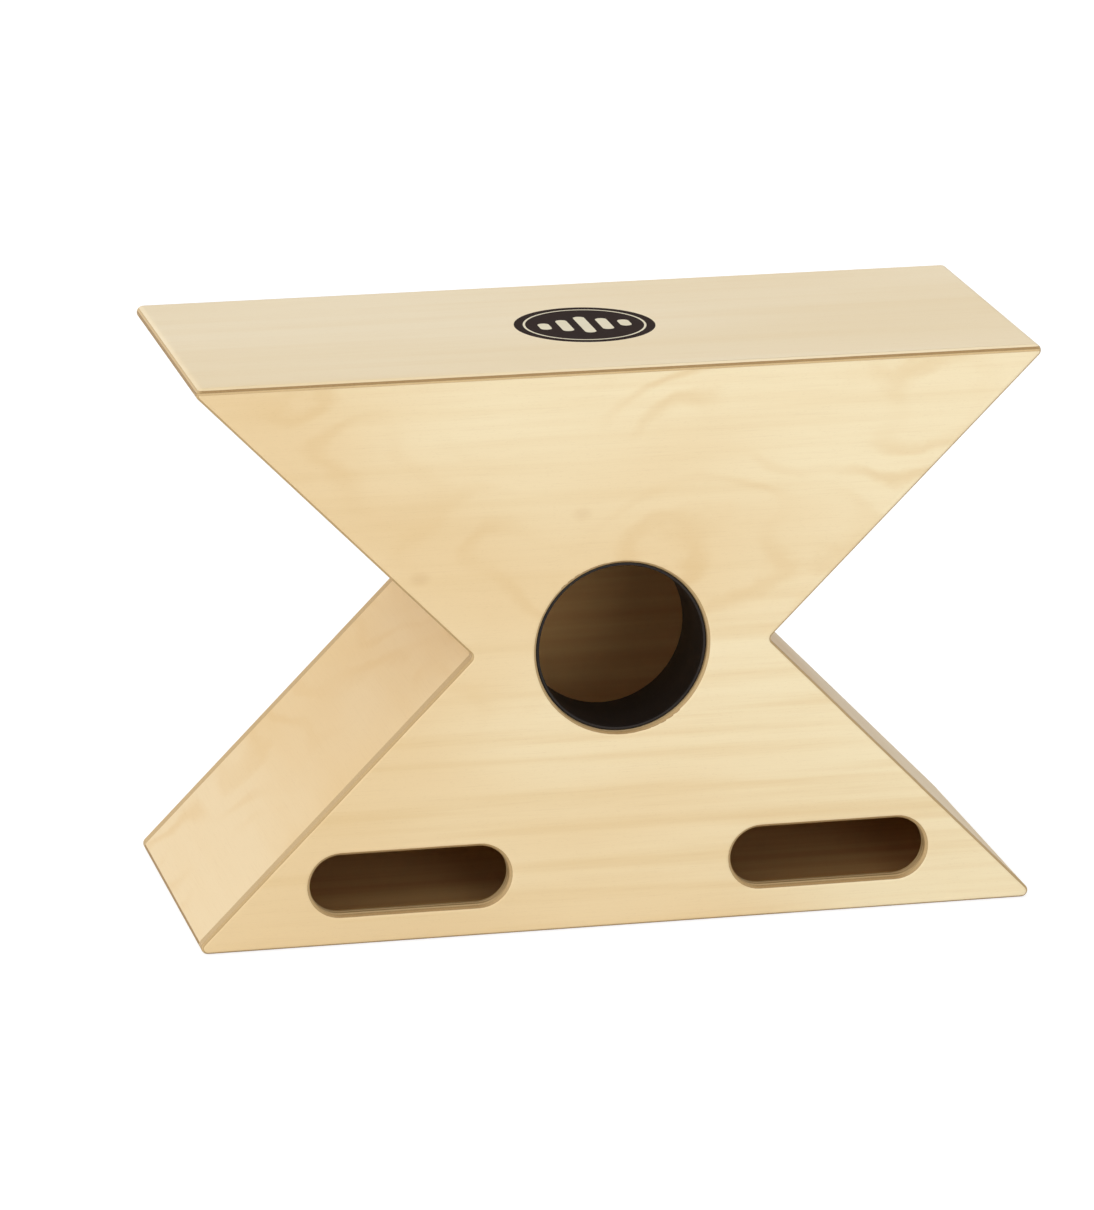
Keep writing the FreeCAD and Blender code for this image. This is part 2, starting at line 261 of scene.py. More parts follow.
def birch_plywood(name, board, along, plies, spot, skins=(skin, skin), painted_shade_lean=(0.0, 0.0, 0.0, 0.0),
                  streaks=0.5, pale=birch_pale, deep=birch_deep, gloss=0.2):
    """Birch plywood all through: lacquered outer face, layered edges and a raw, browner inner face.

    The lean paints shade on the face: it deepens the face in one direction, by a slope per metre along
    each axis and a shift.
    """
    finish = new_finish(name)
    along = Vector(along)
    outward, reach, thickness = outer_face(board)
    place = grain_place(finish, along, outward, reach, spot)
    wander = cloud(finish, stretched(finish, place, 60, 60), detail=1.0)
    depth = reckon(finish, "MULTIPLY_ADD", wander, 2 * ply_wander,
                   add_node(finish, "SeparateXYZ", {0: place}).outputs[2])
    depth = reckon(finish, "SUBTRACT", depth, ply_wander)

    face, face_height, streak = veneer(finish, place, painted_shade_lean, streaks, paint(*pale), paint(*deep))
    edge, edge_height = ply_edges(finish, place, depth, thickness, skins, plies, along, outward)
    inner = mix(finish, ease(finish, streak, 0.15, 0.85), paint(214, 174, 114), paint(196, 148, 92))

    blur = 0.00005
    cut = ease(finish, depth, skins[0] - blur, skins[0] + blur)
    inner_face = ease(finish, depth, thickness - 0.0005, thickness - 0.0003)
    raw = reckon(finish, "MULTIPLY", ease(finish, facing(finish, -outward), 0.7, 0.8), inner_face)
    colour = mix(finish, raw, mix(finish, cut, face, edge), inner)
    height = reckon(finish, "MULTIPLY_ADD", cut,
                    reckon(finish, "SUBTRACT", edge_height, face_height), face_height)
    roughness = reckon(finish, "MULTIPLY_ADD", streak, 0.12, satin - 0.06)
    roughness = reckon(finish, "MULTIPLY_ADD", cut, 0.12, roughness)
    roughness = reckon(finish, "MULTIPLY_ADD", raw, 0.3, roughness)
    finish_shader(finish, colour, roughness, height, 0.00003, gloss)
    return finish


def pick(piece):
    """Selects one piece alone and makes it the active one."""
    bpy.ops.object.select_all(action="DESELECT")
    piece.select_set(True)
    bpy.context.view_layer.objects.active = piece


def settle(piece, finish, slot, *nodes):
    """Gives a piece its finish and its place in the instrument."""
    piece.data.materials.clear()
    piece.data.materials.append(finish)
    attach(piece, "root")
    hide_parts(*nodes)


def merged_copy(board, name):
    """A copy of a board from the frame, its loose triangles made whole faces."""
    piece = bpy.data.objects.new(name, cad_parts[board].data.copy())
    bpy.context.scene.collection.objects.link(piece)
    pick(piece)
    bpy.ops.mesh.customdata_custom_splitnormals_clear()
    bpy.ops.object.mode_set(mode="EDIT")
    bpy.ops.mesh.select_all(action="SELECT")
    bpy.ops.mesh.remove_doubles(threshold=1e-6)
    bpy.ops.mesh.dissolve_limited(angle_limit=math.radians(0.5))
    bpy.ops.object.mode_set(mode="OBJECT")
    return piece


def ease_edges(piece, easement):
    """Sands every sharp edge a little, and keeps the flat faces flat."""
    pick(piece)
    easing = piece.modifiers.new("arris", "BEVEL")
    easing.width = easement
    easing.segments = 2
    easing.limit_method = "ANGLE"
    easing.angle_limit = math.radians(60)
    easing.use_clamp_overlap = False
    bpy.ops.object.modifier_apply(modifier=easing.name)
    bpy.ops.object.shade_smooth()
    weighting = piece.modifiers.new("flat_faces_stay_flat", "WEIGHTED_NORMAL")
    weighting.keep_sharp = True
    bpy.ops.object.modifier_apply(modifier=weighting.name)


def eased_board(board, name, finish, slot):
    """The board from the frame with every sharp edge eased, riding where the board does."""
    piece = merged_copy(board, name)
    ease_edges(piece, arris)
    settle(piece, finish, slot, board)


left_to_right = (1, 0, 0)
front_to_back = (0, 1, 0)
waist_height = sum(corner.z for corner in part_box("port_tube")) / 2
# Painted shade on the front face: the lean deepens it towards the left and below the waist, and leaves
# it paler to the right and above.
front_finish = birch_plywood("front_birch", "front_panel", left_to_right, plies=7,
                             spot=(0.0, waist_height), painted_shade_lean=(-1.1, 0.0, -0.3, 0.3 * waist_height),
                             streaks=0.6)
eased_board("front_panel", "front_board", front_finish, "birch_ply")


# ---- Back panel ------------------------------------------------------------------------------
# The same hourglass in nine millimetre birch plywood, but with no openings. It is glued over the
# back edges of the bottom and side boards, and lacquered outside like the front.

back_finish = birch_plywood("back_birch", "back_panel", left_to_right, plies=7, spot=(1.47, 0.21))
eased_board("back_panel", "back_board", back_finish, "birch_ply")


# ---- Bottom and side boards ------------------------------------------------------------------
# Five boards of nine millimetre birch plywood, mitred to each other at the corners and glued
# between the front and back panels. The grain of the sides runs from front to back, and painted shade
# deepens them towards the waist.

base_finish = birch_plywood("base_birch", "bottom_panel", left_to_right, plies=7, spot=(3.1, 0.4))
eased_board("bottom_panel", "base_board", base_finish, "birch_ply")

side_painted_shade = 1.3            # painted shade: the sides grow deeper in colour towards the waist, per metre
# a shift of the sides' painted shade towards the paler tone
side_painted_shade_shift = -0.06
first_sheet = 4.7               # each side is cut from another place of the veneer
next_sheet = 1.9
side_boards = ("lower_left_side", "lower_right_side", "upper_left_side", "upper_right_side")
for count, side in enumerate(side_boards):
    corner_a, corner_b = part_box(side)
    middle = (corner_a + corner_b) / 2
    outward = outer_face(side)[0]
    # Painted shade: the sides' tones are set darker than the front's, and deepen towards the waist,
    # where the arms above shade them.
    waistwards = heart - middle - outward * outward.dot(heart - middle)
    painted_shade_slope = waistwards.normalized() * side_painted_shade
    side_finish = birch_plywood(side + "_birch", side, front_to_back, plies=7,
                                spot=(first_sheet + next_sheet * count, -0.13),
                                painted_shade_lean=(*painted_shade_slope, side_painted_shade_shift - painted_shade_slope.dot(middle)), streaks=0.22,
                                pale=(235, 212, 171), deep=(230, 200, 149), gloss=0.06)
    eased_board(side, side + "_board", side_finish, "birch_ply")


# ---- Battens, corner blocks and snare rails ----------------------------------------------------
# Planed softwood: two battens widen the glue seat of the playing surface, blocks stiffen the
# pointed corners, and a rail on each side carries the snares. They are glued in and left raw.

rings_per_metre = 420.0
tree_heart = (0.0, 0.06, 0.09)  # from the heart of the tree to the piece


def planed_softwood(name, along, spot):
    """Straight softwood with growth rings round a heart that lies outside the piece."""
    finish = new_finish(name)
    place = grain_place(finish, Vector(along), Vector((0, 0, 1)), 0.0, spot)
    bent = add_node(finish, "VectorMath", {0: stretched(finish, place, 0.25, 1.0, 1.0),
                                           1: tree_heart}, operation="ADD").outputs[0]
    warp = cloud(finish, stretched(finish, place, 6, 30, 30), detail=1.0)
    radius = add_node(finish, "VectorMath", {0: bent}, operation="LENGTH").outputs["Value"]
    counted = reckon(finish, "MULTIPLY_ADD", warp, 0.9,
                     reckon(finish, "MULTIPLY", radius, rings_per_metre))
    late = reckon(finish, "POWER", reckon(finish, "FRACT", counted), 4.0)
    fibre = cloud(finish, stretched(finish, place, 40, 2200, 2200), detail=2.0)
    tone = mix(finish, late, paint(232, 202, 154), paint(184, 136, 86))
    tone = stain(finish, tone, fibre, 0.3, (200, 162, 112))
    roughness = reckon(finish, "MULTIPLY_ADD", fibre, 0.15, 0.68)
    height = reckon(finish, "MULTIPLY_ADD", late, 0.5, fibre)
    finish_shader(finish, tone, roughness, height, 0.00005, gloss=0.2)
    return finish


for strip in ("top_front_batten", "top_back_batten"):
    strip_finish = planed_softwood(strip + "_pine", left_to_right, spot=(0.2, 0.01))
    eased_board(strip, strip + "_strip", strip_finish, "solid_wood")
for stick in ("bottom_left_corner_block", "bottom_right_corner_block", "top_left_corner_block",
              "top_right_corner_block", "snare_rail_left", "snare_rail_right"):
    stick_finish = planed_softwood(stick + "_pine", front_to_back, spot=(0.5, 0.03))
    eased_board(stick, stick + "_stick", stick_finish, "solid_wood")


# ---- Bass port -------------------------------------------------------------------------------
# A moulded black tube with a flange behind the front panel, and its rim a little back from the
# front face. Four screws through the flange hold it from inside.

tube_wall = 0.002
tube_flange = 0.003             # thickness of the flange
flange_behind = 0.009           # from the panel's front face to the flange
rim_round = 0.0007
flange_round = 0.0008
screw_hole_radius = 0.0021
screw_head_radius = 0.0035
on_axis = 0.00001               # turned shapes begin this near to their axis, and close there
merge_within = 0.00001          # points left this near each other by a cut are made one


def turned(name, profile, steps):
    """A shape turned about Z: one circle, extruded and resized along a profile of (radius, height)."""
    bpy.ops.object.select_all(action="DESELECT")
    radius, height = profile[0]
    bpy.ops.mesh.primitive_circle_add(vertices=steps, radius=radius)
    piece = bpy.context.object
    piece.name = name
    bpy.ops.object.mode_set(mode="EDIT")
    bpy.ops.mesh.select_all(action="SELECT")
    bpy.ops.transform.translate(value=(0, 0, height))
    for next_radius, next_height in profile[1:]:
        bpy.ops.mesh.extrude_edges_move(TRANSFORM_OT_translate={"value": (0, 0, next_height - height)})
        factor = next_radius / radius
        bpy.ops.transform.resize(value=(factor, factor, 1), center_override=(0, 0, next_height))
        radius, height = next_radius, next_height
    bpy.ops.mesh.select_all(action="SELECT")
    bpy.ops.mesh.remove_doubles(threshold=2 * on_axis)
    bpy.ops.mesh.normals_make_consistent(inside=False)
    bpy.ops.object.mode_set(mode="OBJECT")
    return piece


def arc(centre_radius, centre_height, bend, start, end, steps=5):
    """Points of a rounded edge in a profile, from one angle to another in degrees."""
    points = []
    for step in range(steps + 1):
        angle = math.radians(start + (end - start) * step / steps)
        points.append((centre_radius + bend * math.cos(angle), centre_height + bend * math.sin(angle)))
    return points


def placed(piece, turn, spot):
    """Turns and moves a piece's mesh, and leaves its object at the origin."""
    piece.matrix_world = Matrix.Translation(spot) @ turn
    pick(piece)
    bpy.ops.object.transform_apply(location=True, rotation=True, scale=True)


def cut_away(piece, cutter):
    """Cuts one piece with another, which is then gone."""
    pick(piece)
    cutting = piece.modifiers.new("cut", "BOOLEAN")
    cutting.object = cutter
    cutting.operation = "DIFFERENCE"
    cutting.solver = "EXACT"
    bpy.ops.object.modifier_apply(modifier=cutting.name)
    bpy.ops.object.mode_set(mode="EDIT")
    bpy.ops.mesh.select_all(action="SELECT")
    bpy.ops.mesh.remove_doubles(threshold=merge_within)
    bpy.ops.object.mode_set(mode="OBJECT")
    bpy.data.objects.remove(cutter)


def joined(name, pieces):
    """Several meshes made one piece."""
    bpy.ops.object.select_all(action="DESELECT")
    for piece in pieces:
        piece.select_set(True)
    bpy.context.view_layer.objects.active = pieces[0]
    bpy.ops.object.join()
    pieces[0].name = name
    return pieces[0]


def crisp(piece, angle=35):
    """Smooth curves with crisp edges."""
    pick(piece)
    bpy.ops.object.shade_smooth_by_angle(angle=math.radians(angle))


def moulded_black():
    """Black plastic from a polished tool: slightly uneven gloss, a fine grain and dust."""
    finish = new_finish("moulded_black_plastic")
    place = own_place(finish)
    grain = cloud(finish, stretched(finish, place, 2600, 2600, 2600), detail=2.0)
    haze = cloud(finish, stretched(finish, place, 30, 60, 30), detail=2.0)
    specks = cloud(finish, stretched(finish, place, 700, 700, 700), detail=2.0)
    dust = ease(finish, specks, 0.62, 0.75)
    tone = mix(finish, haze, paint(26, 20, 17), paint(36, 29, 24))
    tone = stain(finish, tone, dust, 0.25, (96, 84, 70))
    roughness = reckon(finish, "MULTIPLY_ADD", haze, 0.14, 0.46)
    finish_shader(finish, tone, roughness, grain, 0.00002, gloss=0.22)
    return finish


tube_low, tube_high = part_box("port_tube")
tube_centre = Vector(((tube_low.x + tube_high.x) / 2, tube_low.y, (tube_low.z + tube_high.z) / 2))
tube_length = tube_high.y - tube_low.y
flange_radius = (tube_high.x - tube_low.x) / 2
flange_front = cad_low.y + flange_behind - tube_low.y
flange_rear = flange_front + tube_flange
screw_low, screw_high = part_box("port_tube_screws")
screw_offset = (screw_high.x - screw_low.x) / 2 - screw_head_radius
screw_circle = screw_offset * math.sqrt(2)
tube_radius = 2 * screw_circle - flange_radius      # the screws sit midway from tube to rim
bore_radius = tube_radius - tube_wall

tube_profile = (arc(bore_radius + rim_round, rim_round, rim_round, 180, 270)
                + arc(tube_radius - rim_round, rim_round, rim_round, 270, 360)
                + [(tube_radius, flange_front)]
                + arc(flange_radius - flange_round, flange_front + flange_round, flange_round, 270, 360)
                + arc(flange_radius - flange_round, flange_rear - flange_round, flange_round, 0, 90)
                + arc(tube_radius + flange_round, flange_rear + flange_round, flange_round, 270, 180)
                + arc(tube_radius - rim_round, tube_length - rim_round, rim_round, 0, 90)
                + arc(bore_radius + rim_round, tube_length - rim_round, rim_round, 90, 180)
                + [(bore_radius, tube_length * share) for share in (0.66, 0.33)]
                + [(bore_radius, rim_round)])
tube = turned("bass_tube", tube_profile, 144)
placed(tube, Matrix.Rotation(math.radians(-90), 4, "X"), tube_centre)
screw_spots = [Vector((tube_centre.x + right * screw_offset, tube_centre.y + flange_rear,
                       tube_centre.z + up * screw_offset)) for right in (-1, 1) for up in (-1, 1)]
drill_clearance = 0.002         # past the flange's rear, and half of it past the front
drill_profile = [(on_axis, -drill_clearance), (screw_hole_radius, -drill_clearance),
                 (screw_hole_radius, tube_flange + drill_clearance / 2),
                 (on_axis, tube_flange + drill_clearance / 2)]
for spot in screw_spots:
    drill = turned("drill", drill_profile, 32)
    placed(drill, Matrix.Rotation(math.radians(90), 4, "X"), spot)
    cut_away(tube, drill)
crisp(tube)
black_plastic = moulded_black()
settle(tube, black_plastic, "black_plastic", "port_tube")


# ---- Screws ------------------------------------------------------------------------------------
# Zinc-plated pan-head wood screws with a cross recess and a coarse rolled thread: four in the
# bass port's flange, three in each snare strip.

screw_length = 0.009            # below the head
screw_core = 0.00125
thread_radius = 0.00038         # of the three-sided wire that makes the thread
thread_seat = screw_core + 0.00007
thread_start = -0.0009          # below the head
thread_pitch = 0.0013
thread_turns = 5
head_height = 0.0022
head_curve = ((0.3, 0.00002), (0.5, 0.0001), (0.68, 0.00028), (0.82, 0.00056), (0.92, 0.0009),
              (0.98, 0.0013), (1.0, 0.0017))        # share of the radius, drop from the crown
recess_length = 0.0042          # of the wedges that cut the cross, half above the crown
recess_width = 0.0009
recess_height = 0.0028
recess_taper = (0.35, 0.6, 1)


def worn_metal(name, light, dark, shine):
    """Plated or rolled metal, hazy and faintly brushed."""
    finish = new_finish(name)
    place = own_place(finish)
    haze = cloud(finish, stretched(finish, place, 300, 300, 300), detail=3.0)
    brushing = cloud(finish, stretched(finish, place, 4000, 200, 4000), detail=1.0)
    tone = mix(finish, haze, paint(*dark), paint(*light))
    roughness = reckon(finish, "MULTIPLY_ADD", haze, 0.15, shine)
    shader = finish_shader(finish, tone, roughness, brushing, 0.00001)
    shader.inputs["Metallic"].default_value = 1.0
    return finish


def add_block(size, spot):
    """A block of a given size round a spot."""
    bpy.ops.object.select_all(action="DESELECT")
    bpy.ops.mesh.primitive_cube_add(size=1, location=spot)
    block = bpy.context.object
    block.scale = size
    bpy.ops.object.transform_apply(location=True, rotation=True, scale=True)
    return block


def screw_body():
    """The pan head and shank, turned about Z, with the head's seat at the origin."""
    profile = ([(on_axis, head_height)]
               + [(screw_head_radius * share, head_height - drop) for share, drop in head_curve]
               + [(screw_head_radius, 0.00012), (screw_head_radius * 0.97, 0.0),
                  (screw_core * 1.25, 0.0), (screw_core, -0.0006),
                  (screw_core, -screw_length + 0.0022), (screw_core * 0.6, -screw_length + 0.001),
                  (on_axis, -screw_length)])
    return turned("screw", profile, 32)


def recess_wedge(turn):
    """A wedge for one arm of the cross recess, narrower below, turned by an angle in degrees."""
    wedge = add_block((recess_length, recess_width, recess_height), (0, 0, head_height))
    bpy.ops.object.mode_set(mode="EDIT")
    bpy.ops.mesh.select_all(action="DESELECT")
    bpy.ops.object.mode_set(mode="OBJECT")
    bpy.context.tool_settings.mesh_select_mode = (True, False, False)
    for vertex in wedge.data.vertices:
        vertex.select = vertex.co.z < head_height
    bpy.ops.object.mode_set(mode="EDIT")
    bpy.ops.transform.resize(value=recess_taper, center_override=(0, 0, 0))
    bpy.ops.object.mode_set(mode="OBJECT")
    placed(wedge, Matrix.Rotation(math.radians(turn), 4, "Z"), (0, 0, 0))
    return wedge


def close_tube(piece, winding):
    """Applies a screw modifier and closes both ends of the tube that it leaves."""
    pick(piece)
    bpy.ops.object.modifier_apply(modifier=winding.name)
    bpy.ops.object.mode_set(mode="EDIT")
    bpy.ops.mesh.select_all(action="SELECT")
    bpy.ops.mesh.remove_doubles(threshold=0.000005)
    bpy.ops.mesh.fill_holes(sides=0)
    bpy.ops.mesh.select_all(action="SELECT")
    bpy.ops.mesh.normals_make_consistent(inside=False)
    bpy.ops.object.mode_set(mode="OBJECT")


def rolled_thread():
    """A coarse thread: a three-sided wire wound round the shank and partly sunk in it."""
    seat = (thread_seat, 0, thread_start)
    bpy.ops.object.select_all(action="DESELECT")
    bpy.ops.mesh.primitive_circle_add(vertices=3, radius=thread_radius, location=seat,
                                      rotation=(math.radians(90), 0, 0))
    thread = bpy.context.object
    bpy.ops.object.mode_set(mode="EDIT")
    bpy.ops.mesh.select_all(action="SELECT")
    bpy.ops.transform.rotate(value=math.radians(30), orient_axis="Y", center_override=seat)
    bpy.ops.object.mode_set(mode="OBJECT")
    bpy.ops.object.transform_apply(location=True, rotation=True, scale=True)
    winding = thread.modifiers.new("thread", "SCREW")
    winding.axis = "Z"
    winding.screw_offset = -thread_pitch
    winding.iterations = thread_turns
    winding.steps = winding.render_steps = 20
    close_tube(thread, winding)
    return thread


def wood_screw():
    """One screw along Z, with its head's seat at the origin and its point below."""
    body = screw_body()
    for turn in (0, 90):
        cut_away(body, recess_wedge(turn))
    return joined("screw", [body, rolled_thread()])


def copies(pattern, name, places):
    """One piece from a pattern's copies, each put in its place by a matrix."""
    made = []
    for place in places:
        twin = bpy.data.objects.new(name, pattern.data.copy())
        bpy.context.scene.collection.objects.link(twin)
        placed(twin, place, (0, 0, 0))
        made.append(twin)
    return joined(name, made)


zinc = worn_metal("zinc_plate", (206, 202, 190), (170, 166, 152), 0.3)
screw = wood_screw()
crisp(screw)
driven_turns = (12, 47, 71, 25)     # where each cross recess came to rest, in degrees
port_places = [Matrix.Translation(spot) @ Matrix.Rotation(math.radians(-90), 4, "X")
               @ Matrix.Rotation(math.radians(turn), 4, "Z")
               for spot, turn in zip(screw_spots, driven_turns)]
settle(copies(screw, "port_screws", port_places), zinc, "screw_steel", "port_tube_screws")


# ---- Snares ------------------------------------------------------------------------------------
# On each side twelve strands of coiled steel wire, soldered to a brass strip that is screwed to
# the rail. They rise outwards a little, so that their free ends lie just under the playing surface.

snare_tilt = math.radians(5)
strip_thickness = 0.0012
wire_radius = 0.00028
coil_radius = 0.001             # outside of the coiled wire
coil_pitch = 0.0009
coil_steps = 8                  # to a turn
strand_count = 12
strand_turn = 1.7               # from one strand to the next, so that no two coils line up
strip_width = 0.018
strand_overlap = 0.008          # how much of a strand lies on its strip
solder_length = 0.0072
solder_width = 0.0038
solder_height = 0.0022
solder_inset = 0.0003           # from the strip's edge
screw_reach = 0.045             # between a strip's middle screw and the outer ones
screw_inset = 0.005
screw_turn = 0.9                # how far the outer screws are turned from the middle one


def coil(length):
    """One strand along X from the origin: a fine wire wound in an open coil."""
    bpy.ops.object.select_all(action="DESELECT")
    bpy.ops.mesh.primitive_circle_add(vertices=5, radius=wire_radius, rotation=(math.radians(90), 0, 0),
                                      location=(coil_radius - wire_radius, 0, 0))
    strand = bpy.context.object
    bpy.ops.object.transform_apply(location=True, rotation=True, scale=True)
    winding = strand.modifiers.new("turns", "SCREW")
    winding.axis = "Z"
    winding.iterations = int((length - 2 * wire_radius) / coil_pitch)
    winding.screw_offset = (length - 2 * wire_radius) / winding.iterations
    winding.steps = winding.render_steps = coil_steps
    close_tube(strand, winding)
    placed(strand, Matrix.Rotation(math.radians(90), 4, "Y"), (wire_radius, 0, 0))
    return strand


def solder_bead():
    """A mound of solder along X, flat below, with hollow flanks."""
    profile = [(on_axis, 1.0), (0.3, 0.97), (0.55, 0.86), (0.72, 0.66), (0.84, 0.42), (0.93, 0.2),
               (1.0, 0.04), (1.0, 0.0), (on_axis, 0.0)]
    bead = turned("bead", profile, 20)
    size = (solder_length / 2, solder_width / 2, solder_height, 1)
    placed(bead, Matrix.Diagonal(size), (0, 0, 0))
    return bead


bright_wire = worn_metal("bright_wire", (206, 206, 208), (158, 158, 160), 0.22)
brass = worn_metal("rolled_brass", (218, 186, 116), (180, 142, 78), 0.3)
solder = worn_metal("dull_solder", (176, 178, 180), (128, 130, 134), 0.42)
wires_low, wires_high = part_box("snare_wires_right")
strand_pitch = (wires_high.y - wires_low.y - 2 * coil_radius) / (strand_count - 1)
level_reach = wires_high.x - wires_low.x - 2 * coil_radius * math.sin(snare_tilt)
strand_length = level_reach / math.cos(snare_tilt)
strand = coil(strand_length)
crisp(strand, 80)
bead = solder_bead()
crisp(bead)

strip_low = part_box("snare_anchor_plate_right")[0]
pivot = Vector((strip_low.x + strip_thickness * math.sin(snare_tilt), 0, strip_low.z))
rows = [(count - (strand_count - 1) / 2) * strand_pitch for count in range(strand_count)]
for side, flip in (("right", 0), ("left", 180)):
    seat = (Matrix.Rotation(math.radians(flip), 4, "Z") @ Matrix.Translation(pivot)
            @ Matrix.Rotation(-snare_tilt, 4, "Y"))
    strand_places = [seat @ Matrix.Translation((strip_width - strand_overlap, row,
                                                strip_thickness + coil_radius))
                     @ Matrix.Rotation(strand_turn * count, 4, "X") for count, row in enumerate(rows)]
    bead_places = [seat @ Matrix.Translation((strip_width - solder_length / 2 - solder_inset, row,
                                              strip_thickness)) for row in rows]
    screw_places = [seat @ Matrix.Translation((screw_inset, screw_reach * step, strip_thickness))
                    @ Matrix.Rotation(screw_turn * step, 4, "Z") for step in (-1, 0, 1)]
    settle(copies(strand, "snare_strands_" + side, strand_places), bright_wire, "snare_wire",
           "snare_wires_" + side)
    settle(copies(bead, "snare_solder_" + side, bead_places), solder, "snare_strip",
           "snare_anchor_plate_" + side)
    settle(copies(screw, "snare_strip_screws_" + side, screw_places), zinc, "screw_steel",
           "snare_screws_" + side)
    eased_board("snare_anchor_plate_" + side, "snare_strip_" + side, brass, "snare_strip")
for pattern in (strand, bead, screw):
    bpy.data.objects.remove(pattern)


# ---- Playing surface -------------------------------------------------------------------------
# The thin board that is struck: three-ply birch, four millimetres, glued flat over the box. Its
# core runs from front to back, so it shows dark end grain in front and pale long grain at the ends.

top_round = 0.0011              # on the upper outer edge
pocket_easement = 0.00008       # less than the badge's pocket is deep
badge_low, badge_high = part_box("badge")
badge_radius = (badge_high.x - badge_low.x) / 2
pocket_margin = 0.002
face_tolerance = 0.00001


def bevel_lines(piece, wanted, offset, segments, clamp=False):
    """Rounds those edges of a piece whose two ends pass a test."""
    pick(piece)
    bpy.context.tool_settings.mesh_select_mode = (False, True, False)
    bpy.ops.object.mode_set(mode="EDIT")
    bpy.ops.mesh.select_all(action="DESELECT")
    bpy.ops.object.mode_set(mode="OBJECT")
    for line in piece.data.edges:
        start, end = [piece.data.vertices[index].co for index in line.vertices]
        line.select = wanted(start, end)
    bpy.ops.object.mode_set(mode="EDIT")
    bpy.ops.mesh.bevel(offset=offset, segments=segments, clamp_overlap=clamp)
    bpy.ops.object.mode_set(mode="OBJECT")


def on_upper_rim(start, end):
    """Whether an edge lies round the top of the board, and not round the badge's pocket."""
    return all(point.z > cad_high.z - face_tolerance
               and point.to_2d().length > badge_radius + pocket_margin for point in (start, end))


top_finish = birch_plywood("top_birch", "playing_surface", left_to_right, plies=3, spot=(7.3, 5.1),
                           skins=(0.0012, 0.0013), streaks=0.16, pale=(240, 222, 186),
                           deep=(236, 215, 174))
top_board = merged_copy("playing_surface", "top_board")
bevel_lines(top_board, on_upper_rim, top_round, segments=4, clamp=True)
ease_edges(top_board, pocket_easement)
for corner in top_board.data.vertices:
    corner.co.z = min(corner.co.z, cad_high.z)      # the rounding never rises above the face
settle(top_board, top_finish, "thin_ply", "playing_surface")


# ---- Badge -----------------------------------------------------------------------------------
# A round print in near-black brown, let into the top so that it lies level with it. In pale ink on
# it stand a plain ring and five upright bars with round ends.

badge_centre = Vector(((badge_low.x + badge_high.x) / 2, (badge_low.y + badge_high.y) / 2, badge_high.z))
print_depth = badge_high.z - badge_low.z
motif_lift = 0.00005            # thickness of the pale ink
print_edge = 0.00004            # the soft edge of the inks
ring_outside = 0.0375           # its outer radius
ring_width = 0.0014
bar_width = 0.007
bar_step = 0.0124
bar_heights = (0.015, 0.027, 0.039, 0.027, 0.015)
bar_rounding = 0.49             # share of a bar's width


def print_ink(name, tone_a, tone_b, matt):
    """Screen-printed ink, evenly matt with a fine tooth and a little wear."""
    finish = new_finish(name)
    place = own_place(finish)
    haze = cloud(finish, stretched(finish, place, 60, 60, 60), detail=3.0)
    speck = cloud(finish, stretched(finish, place, 3000, 3000, 3000), detail=1.0)
    tone = mix(finish, haze, paint(*tone_a), paint(*tone_b))
    roughness = reckon(finish, "MULTIPLY_ADD", haze, 0.1, matt)
    finish_shader(finish, tone, roughness, speck, 0.00001, gloss=0.05)
    return finish


def runs_upright(start, end):
    """Whether an edge of a bar runs from its underside to its top."""
    return abs(start.z - end.z) > print_edge


disc_top = -motif_lift
disc_profile = [(on_axis, disc_top), (badge_radius * 0.5, disc_top),
                (badge_radius - print_edge, disc_top), (badge_radius, disc_top - print_edge),
                (badge_radius, -print_depth), (on_axis, -print_depth)]
disc = turned("badge_disc", disc_profile, 128)
placed(disc, Matrix.Identity(4), badge_centre)
crisp(disc)
settle(disc, print_ink("dark_ink", (36, 24, 22), (48, 34, 28), 0.7), "badge_print", "badge")

motif_foot = disc_top - print_edge
ring_inside = ring_outside - ring_width
ring_profile = [(ring_inside, motif_foot), (ring_inside, -print_edge / 2),
                (ring_inside + print_edge, 0), (ring_outside - print_edge, 0),
                (ring_outside, -print_edge / 2), (ring_outside, motif_foot),
                (ring_inside, motif_foot)]
motif = [turned("badge_ring", ring_profile, 128)]
for count, bar_height in enumerate(bar_heights):
    bar = add_block((bar_width, bar_height, -motif_foot), ((count - 2) * bar_step, 0, motif_foot / 2))
    bevel_lines(bar, runs_upright, bar_width * bar_rounding, segments=8)
    motif.append(bar)
badge_motif = joined("badge_motif", motif)
placed(badge_motif, Matrix.Identity(4), badge_centre)
crisp(badge_motif)
settle(badge_motif, print_ink("pale_ink", (226, 216, 186), (236, 228, 204), 0.6), "badge_print", "badge")


# ---- Studio ----------------------------------------------------------------------------------
# A white sheet of paper as the floor, a bright room that is dimmer at the right, and two large
# soft lamps. The camera looks from the front, a little from the left and from above.

floor_drop = 0.0004             # keeps the paper just clear of the base
paper_tone = 0.72
seen_paper_tone = 0.35          # what the camera sees is mostly the paper's own glow
seen_paper_glow = 0.8
bpy.ops.object.select_all(action="DESELECT")
bpy.ops.mesh.primitive_plane_add(size=40, location=(0, 0, -floor_drop))
floor = bpy.context.object
floor.name = "floor"
paper = new_finish("floor_paper")
paper_shader = paper.node_tree.nodes["Principled BSDF"]
paper_shader.inputs["Base Color"].default_value = (paper_tone, paper_tone, paper_tone, 1.0)
paper_shader.inputs["Roughness"].default_value = 0.9
paper_shader.inputs["Specular IOR Level"].default_value = 0.1
paper_links = paper.node_tree.links


